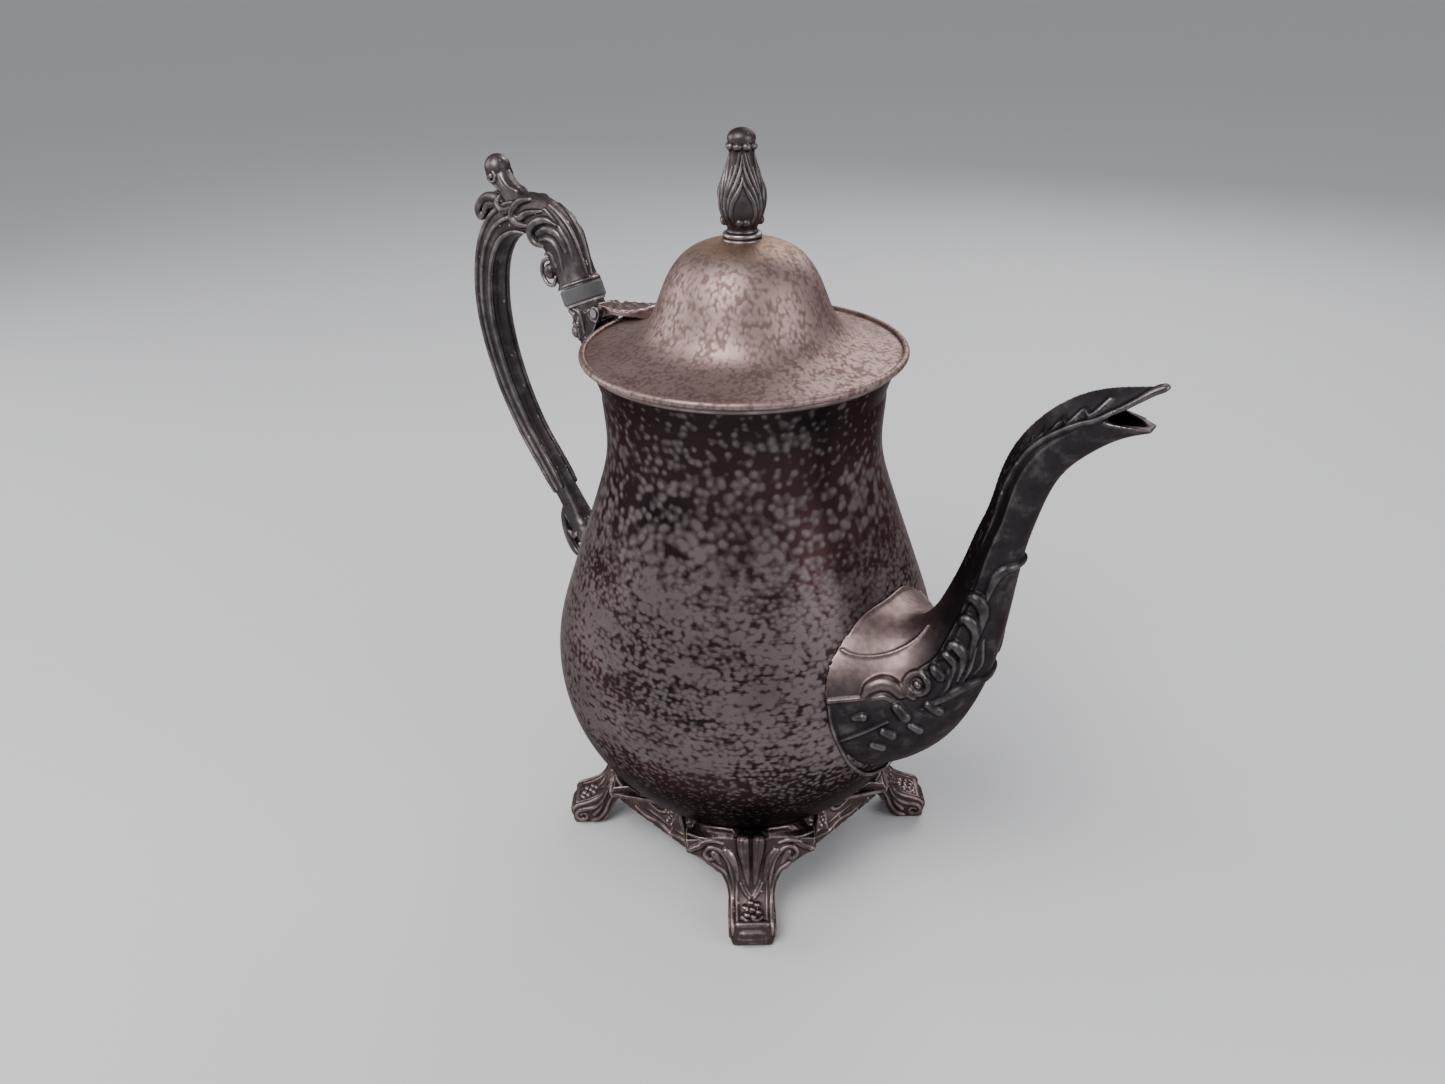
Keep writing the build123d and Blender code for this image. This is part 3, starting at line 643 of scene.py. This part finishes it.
    # thumb piece: curled neck, bud with a scrolled eye, and a pair of curls behind it
    cast.tube([(-97.0, 0, 228.4, 4.8), (-103.6, 0, 231.4, 5.3), (-110.0, 0, 234.4, 4.9),
               (-115.0, 0, 238.4, 4.1), (-118.4, 0, 243.0, 3.9)], 6)
    cast.ball((-119.7, 0, 245.0), 4.9)
    pair([(-107.2, 238.0, 0.5), (-112.0, 239.4, 0.7), (-115.4, 242.8, 0.6)], 2.4)
    pair([(-108.8, 235.8, 0.5), (-113.4, 237.2, 0.8), (-117.6, 239.4, 0.8), (-121.6, 241.4, 0.7),
          (-123.2, 244.0, 0.5)],
         (3.6, 3.4, 3.6, 3.2, 2.6))
    pair(spiral((-118.8, 242.6), 2.5, 1.5, 1.0, 200, (0.55, 0.5)), 4.1)
    for side in (-1, 1):
        cast.ball((-118.7, side * 4.2, 242.5), 1.0)
    pair([(-112.0, 232.4, 1.6), (-119.0, 234.4, 1.9), (-125.2, 233.9, 1.8), (-129.6, 231.2, 1.6),
          (-131.4, 228.2, 1.5), (-130.2, 226.0, 1.4), (-128.2, 227.2, 1.5)], 2.6)
    pair([(-114.0, 231.0, 1.6), (-120.6, 232.0, 1.9), (-125.4, 230.6, 1.6), (-127.2, 228.2, 1.2)], 2.4)
    # open scrolls below the lower mouth
    pair([(-97.0, 112.0, 1.2), (-98.8, 106.0, 1.7), (-98.2, 98.6, 1.8), (-95.0, 92.2, 1.7),
          (-90.8, 89.9, 1.5), (-88.4, 92.6, 1.3), (-90.2, 95.2, 1.2)], (2.0, 1.6, 1.4, 1.4, 1.4, 1.4, 1.4))
    pair([(-98.0, 108.6, 0.9), (-94.6, 105.4, 1.2), (-91.8, 101.6, 1.2), (-93.0, 98.4, 1.1),
          (-95.8, 99.6, 0.9)], 2.2)
    return cast.fuse("cast_handle", 0.30)


# ---------------------------------------------------------------- sockets


def make_upper_socket():
    """Scrolls, a ball in its cup and veins that spread over the neck."""
    skin = Skin("upper_socket")
    cast = Casting("upper_socket")
    for rows in (
        spiral((-76.4, 191.6), 3.2, 2.9, -0.85, 150, (0.85, 0.7)),
        [(-76.8, 191.9, 2.0), (-76.3, 191.2, 2.1)],
        spiral((-65.5, 200.5), 3.0, 2.9, -1.0, 90, (0.5, 0.5)),
        [(-80.4, 197.4, 0.5), (-78.2, 199.2, 0.9), (-75.4, 198.2, 1.0), (-73.6, 195.0, 0.7)],
        [(-76.0, 200.6, 0.4), (-73.4, 199.8, 0.8), (-71.6, 196.6, 0.8), (-70.8, 192.6, 0.5)],
        [(-74.6, 187.6, 0.5), (-69.6, 184.2, 0.9), (-62.6, 182.0, 0.8), (-56.6, 181.0, 0.5)],
        [(-70.4, 190.6, 0.5), (-65.6, 188.0, 0.9), (-59.8, 186.0, 0.8), (-54.6, 185.6, 0.5)],
        [(-56.0, 188.0, 0.5), (-52.4, 191.2, 0.9), (-49.4, 192.2, 0.8)],
        [(-56.0, 179.0, 0.5), (-52.6, 175.6, 0.9), (-49.8, 174.0, 0.8)],
        [(-55.6, 184.0, 0.6), (-51.4, 184.4, 1.0), (-48.6, 184.6, 0.8)],
    ):
        cast.both_sides(skin, rows)
    return cast.fuse("cast_upper_socket", 0.26)


def make_lower_socket():
    """Ribs that fan out from the mouth to the body."""
    skin = Skin("lower_socket")
    cast = Casting("lower_socket")
    for z in (92.0, 95.2, 98.2, 101.2, 104.2, 107.2):
        reach = 1.0 - abs(z - 99.6) / 16
        start = (-75.6, 100.2 + 0.75 * (z - 99.6), 0.5)
        cast.both_sides(skin, [start, (-71.6, z, 1.0 * reach), (-68.9, z, 0.9 * reach)])
    return cast.fuse("cast_lower_socket", 0.26)


# ---------------------------------------------------------------- hinge leaf


def make_leaf():
    """A ridged leaf with a scalloped border."""
    skin = Skin("hinge_leaf")
    cast = Casting("hinge_leaf")

    def top(x, y, lift=0.0):
        hit, normal = skin.seen_from((x, y, 203), (0, 0, -1))
        return hit + lift * normal

    def half_width(x):
        """How far from the middle a form may lie without leaving the plate."""
        return 0.84 * np.interp(x, (-61.6, -59, -52, -43, -38, -33.5), (3, 4.9, 6, 5, 3, 0.4))

    # folds that run along the leaf, each waving a little, and a scalloped border
    for fold in range(-4, 5):
        rows = []
        for i in range(13):
            x = -60.6 + 2.0 * i
            y = half_width(x) * (fold + 0.30 * math.sin(1.7 * i + 2.1 * fold)) / 4.6
            lift = 0.16 * math.sin(2.3 * i + 1.3 * fold)
            rows.append((*top(x, y, lift), 0.52 + 0.10 * math.sin(1.9 * i + fold)))
        cast.tube(rows, 3)
    for side in (-1, 1):
        rows = []
        for i in range(18):
            x = -59.2 + 1.36 * i
            y = side * (half_width(x) + 0.2 * math.cos(2 * math.pi * i / 3))
            rows.append((*top(x, y), 0.85 + 0.12 * math.cos(2 * math.pi * i / 3)))
        cast.tube(rows, 3)
    return cast.fuse("cast_hinge_leaf", 0.22)


# ---------------------------------------------------------------- feet


def make_foot(name, turn):
    """One leg with its half of both aprons, turned about the pot's axis by degrees."""
    node = "foot_" + name
    skin = Skin(node)
    cast = Casting(node)
    angle = math.radians(turn)
    along = np.array((math.cos(angle), math.sin(angle), 0))
    across = np.array((-math.sin(angle), math.cos(angle), 0))

    def front(a, z):
        """The leg's face, where it is seen from straight in front."""
        hit, _ = skin.seen_from(a * across + np.array((0, 0, z)), -along)
        return hit

    def above(a, s):
        """The leg's instep, seen from above."""
        hit, _ = skin.seen_from(a * across + s * along, (0, 0, -1))
        return hit

    def mirrored(rows, finder=front, sunk=0.0):
        """A stroke on both halves of the leg; its rows are what the finder takes, and a radius."""
        line = smooth_line(rows)
        for side in (-1, 1):
            cast.tube([(*(finder(side * a, b) - sunk * along), r) for a, b, r in line], 1)

    # shoulder that rises from the leg's upper edge to the body
    body = Skin("body_shell")
    loops = []
    for degrees in np.arange(-25, 25.1, 2.5):
        turned_by = math.radians(degrees)
        facing = math.cos(turned_by) * along + math.sin(turned_by) * across

        def wall_reach(z):
            hit, _ = body.seen_from((0, 0, z), -facing)
            return np.linalg.norm(hit[:2])

        knee = 51.9 / math.cos(turned_by) - 0.55 * max(abs(degrees) - 19, 0)
        hollow = max(1 - abs(degrees) / 8, 0)
        top = 37.4 - 0.32 * max(abs(degrees) - 14, 0) - 8.0 * hollow
        edge = 33.7 - 6.5 * hollow
        under = edge - 4.0
        middle = 0.4 * top + 0.6 * edge - 0.3
        share = [
            (wall_reach(under) + 0.3, under),
            (wall_reach(top) + 0.3, top),
            (wall_reach(top) + 1.2, top - 0.4),
            (0.5 * knee + 0.5 * wall_reach(35) + 0.4, middle),
            (knee, edge),
            (knee - 0.3, under),
        ]
        loops.append([facing * reach + np.array((0, 0, z)) for reach, z in share])
    cast.rings(loops)
    # fan of the knee: two round lobes, flanking fronds and an outward scroll on each side
    for side in (-1, 1):
        rows = []
        for a, z, radius, reach in (
            (1.2, 15.5, 0.6, 0),
            (1.6, 20.5, 1.5, 0),
            (2.1, 25.0, 2.1, 0),
            (2.6, 29.0, 2.7, 51.8),
            (2.8, 31.9, 2.9, 52.1),
        ):
            out = max(front(side * a, z) @ along, reach) - 0.7
            rows.append((*(side * a * across + out * along + np.array((0, 0, z))), radius))
        cast.tube(rows)
    mirrored([(4.9, 16.0, 0.6), (5.5, 21.5, 1.5), (7.0, 26.2, 2.0), (8.9, 28.6, 1.9)], sunk=0.7)
    mirrored([(6.8, 13.5, 0.5), (7.0, 19.0, 0.8), (8.0, 24.4, 0.9), (9.8, 27.8, 0.9), (12.4, 30.0, 0.9),
              (15.2, 30.2, 0.9), (16.8, 28.2, 0.8), (15.4, 26.2, 0.8), (13.2, 26.6, 0.9)])
    mirrored([(10.2, 31.6, 0.5), (13.8, 32.6, 0.9), (17.6, 32.0, 0.8), (19.6, 30.4, 0.5)])
    mirrored([(10.4, 23.0, 0.5), (12.6, 26.6, 1.7), (13.4, 28.0, 1.7)], sunk=0.7)
    mirrored([(14.4, 32.4, 0.4), (18.4, 30.8, 1.3), (21.6, 29.6, 1.2), (23.8, 27.8, 0.6)], sunk=0.3)
    # borders of the shank
    mirrored([(7.0, 6.0, 0.5), (7.1, 9.4, 0.75), (7.1, 13.5, 0.75), (7.8, 17.5, 0.7), (9.9, 21.6, 0.6),
              (14.0, 24.8, 0.4)])
    mirrored([(5.3, 9.2, 0.3), (5.4, 11.0, 0.5), (5.5, 14.5, 0.5), (5.6, 18.0, 0.3)])
    # chevrons and a rose on the instep
    mirrored([(3.9, 57.8, 0.4), (2.4, 59.6, 0.6), (0.9, 61.0, 0.5)], above)
    mirrored([(3.0, 57.4, 0.3), (1.6, 59.2, 0.5), (0.4, 60.4, 0.4)], above)
    for i in range(6):
        petal = 2 * math.pi * i / 6 + 0.3
        place = above(2.5 * math.cos(petal), 64.6 + 2.5 * math.sin(petal))
        cast.ball(place, (1.15, 1.15, 0.8))
    cast.ball(above(0, 64.6), 1.0)
    mirrored([(0.4, 68.4, 0.4), (2.2, 68.2, 0.6), (3.6, 66.9, 0.4)], above)
    # roll at the tip of the toe
    cast.tube([(*(above(a, 69.2) - (0, 0, 0.9)), 1.5) for a in (-5.0, -2.6, 0, 2.6, 5.0)], 3)
    # cushion of its front
    cast.tube([(*(front(a, 4.5) - 3.0 * along), 4.2) for a in (-3.2, -1.6, 0, 1.6, 3.2)], 2)
    # scroll and leaf on each flank of the toe
    for side in (-1, 1):
        def flank(s, z):
            hit, _ = skin.seen_from(s * along + np.array((0, 0, z)), -side * across)
            return hit

        for rows in (
            spiral((67.6, 4.9), 3.0, 0.9, -1.2, 100, (0.95, 0.7)),
            [(67.2, 8.0, 0.95), (63.2, 8.9, 0.9), (60.2, 11.2, 0.8), (58.0, 15.0, 0.6), (56.4, 20.0, 0.4)],
            [(63.9, 2.2, 0.7), (60.9, 3.6, 0.9), (58.2, 7.4, 0.9), (56.2, 12.6, 0.7), (53.6, 17.4, 0.4)],
            [(62.8, 5.6, 1.1), (60.6, 8.2, 0.9), (58.9, 11.4, 0.5)],
        ):
            line = smooth_line(rows, 5)
            cast.tube([(*flank(a, b), r) for a, b, r in line], 1)

    # aprons either side: a scroll, a flower and a lower border
    for side in (-1, 1):
        outward = (along + side * across) / math.sqrt(2)
        sideways = (side * across - along) / math.sqrt(2)

        def wall(t, z):
            hit, _ = skin.seen_from(t * sideways + np.array((0, 0, z)), -outward)
            return hit

        for rows in (
            [(-17.0, 22.6, 0.4), (-12.5, 22.0, 0.8), (-7.6, 21.6, 0.9), (-4.2, 23.4, 0.9), (-4.4, 26.8, 0.9),
             (-7.0, 28.0, 0.8), (-8.6, 26.2, 0.8), (-7.4, 24.8, 0.7)],
            [(-17.0, 24.4, 0.3), (-12.4, 24.0, 0.6), (-10.4, 25.2, 0.5)],
            [(-21.0, 16.0, 0.5), (-14.0, 15.6, 0.9), (-7.0, 16.6, 0.9), (-0.6, 15.4, 0.9)],
            [(-15.0, 18.6, 0.3), (-9.0, 18.9, 0.6), (-2.0, 18.4, 0.3)],
        ):
            line = smooth_line(rows, 5)
            cast.tube([(*wall(t, z), r) for t, z, r in line], 1)
        if side > 0:
            for i in range(5):
                petal = 2 * math.pi * i / 5 + 0.4
                cast.ball(wall(-0.9 + 1.7 * math.cos(petal), 23.2 + 1.7 * math.sin(petal)), 0.85)
            cast.ball(wall(-0.9, 23.2), 0.8)
            for t, z in ((-2.6, 27.0), (0.2, 27.6), (-2.8, 19.8), (-0.4, 19.4)):
                cast.ball(wall(t, z), 0.7)
    return cast.fuse("cast_foot_" + name, 0.30)


# ---------------------------------------------------------------- finial


def make_finial():
    """A bud of four leaves under a lobed cap."""
    profile = [(0.0, 237.4), (4.7, 237.4), (4.7, 238.6), (5.8, 240.8), (7.0, 243.6), (7.4, 246.8),
               (6.8, 250.4), (5.6, 253.8), (4.5, 257.2), (3.7, 260.6), (3.8, 262.4), (3.4, 263.4),
               (2.6, 264.4), (0.0, 264.6)]
    cast = turned(smooth_line(profile, 5))
    cast.ball((0, 0, 264.9), (4.4, 4.4, 3.05))
    line = smooth_line(profile[1:], 8)

    def skin(degrees, z, lift=0.0):
        radius = np.interp(z, line[:, 1], line[:, 0]) + lift
        angle = math.radians(degrees)
        return (radius * math.cos(angle), radius * math.sin(angle), z)

    for quarter in range(4):
        middle = -47 + 90 * quarter
        for side in (-1, 1):
            for rows in (
                [(0, 260.4, 0.3), (6, 257.2, 0.5), (17, 253.4, 0.7), (29, 249.6, 0.8), (37, 245.8, 0.7),
                 (40, 242.4, 0.4)],
                [(0, 254.2, 0.3), (6, 252.0, 0.6), (16, 249.6, 0.8), (27, 246.6, 0.8), (32, 243.2, 0.7),
                 (27, 240.6, 0.5)],
                [(9, 262.0, 0.3), (20, 258.0, 0.5), (33, 253.4, 0.6), (41, 249.2, 0.5)],
            ):
                rod = smooth_line(rows, 5)
                cast.tube([(*skin(middle + side * a, z), r) for a, z, r in rod], 1)
            cast.ball(skin(middle + side * 11, 241.0, -0.3), 1.4)
        edge = smooth_line([(45, 239.6, 0.5), (45, 243.0, 1.0), (45, 247.5, 1.1), (45, 252.0, 0.8),
                            (45, 257.0, 0.4)], 5)
        cast.tube([(*skin(middle + a, z, -0.2), r) for a, z, r in edge], 1)
        # lobes below the cap
        cast.ball(skin(middle + 22, 262.7, -0.2), (1.5, 1.5, 1.25))
        cast.ball(skin(middle - 22, 262.7, -0.2), (1.5, 1.5, 1.25))
    return cast.fuse("cast_finial", 0.18)


def make_collar():
    """The grooved ring under the finial, bored for the stud."""
    ring = [(1.6, 234.1), (5.9, 234.0), (6.3, 234.4), (6.3, 235.3), (5.95, 235.6), (5.95, 235.9),
            (6.2, 236.2), (6.2, 236.9), (5.8, 237.3), (4.9, 237.4), (1.6, 237.4)]
    cast = turned(ring)
    mesh = bpy.data.meshes.new("collar")
    mesh.from_pydata(np.vstack(cast.verts) * MM, [], cast.faces)
    return piece_of("turned_collar", mesh)


# ---------------------------------------------------------------- the pot

add_camera()
add_stage()
body_look = body_material()
lid_look = lid_material()
# each casting material paints shade into its hollows as well as tarnish
cast_look = cast_material("cast_tarnish_and_shade", (0.008, 0.007, 0.008), (0.075, 0.062, 0.064), (0.34, 0.29, 0.285))
spout_look = cast_material("spout_tarnish_and_shade", (0.006, 0.005, 0.006), (0.034, 0.030, 0.033),
                           (0.19, 0.165, 0.165), rosy=(0.074, 0.086, 0.102, 0.114))
foot_look = cast_material("foot_tarnish_and_shade", (0.010, 0.007, 0.008), (0.085, 0.062, 0.060), (0.40, 0.31, 0.30))
leaf_look = cast_material("leaf_tarnish_and_shade", (0.026, 0.018, 0.018), (0.25, 0.18, 0.17), (0.44, 0.34, 0.32))
bead_look = cast_material("bead_tarnish_and_shade", (0.04, 0.03, 0.03), (0.17, 0.13, 0.128), (0.38, 0.32, 0.31))
insulator_look = insulator_material()
bright_look = cast_material("worn_plate_and_shade", (0.06, 0.05, 0.05), (0.26, 0.22, 0.215), (0.42, 0.38, 0.37))

looks = {
    "body_shell": body_look, "neck_shell": body_look, "mouth_wire": bead_look,
    "lid_shell": lid_look, "lid_bead": lid_look, "lid_bezel": lid_look,
    "upper_insulator": insulator_look, "lower_insulator": insulator_look,
    "upper_insulator_plate": bright_look, "lower_insulator_plate": bright_look,
    "finial_stud": bright_look, "finial_nut": bright_look, "finial_washer": bright_look,
}
for node_name, node in nodes.items():
    give(node, looks.get(node_name, cast_look))

base_turn = -3.5
pieces = [
    (make_spout(), spout_look, "pot", "spout"),
    (make_handle(), cast_look, "pot", "handle"),
    (make_upper_socket(), cast_look, "pot", "upper_socket"),
    (make_lower_socket(), cast_look, "pot", "lower_socket"),
    (make_leaf(), leaf_look, "lid", "hinge_leaf"),
    (make_finial(), cast_look, "lid", "finial"),
    (make_collar(), cast_look, "lid", "finial_collar"),
]
for quarter, name in enumerate(("front_left", "rear_left", "rear_right", "front_right")):
    pieces.append((make_foot(name, base_turn + 45 + 90 * quarter), foot_look, "pot", "foot_" + name))
for piece, look, body, replaced in pieces:
    settle(piece, look, body, "cast_silverplate", replaced)
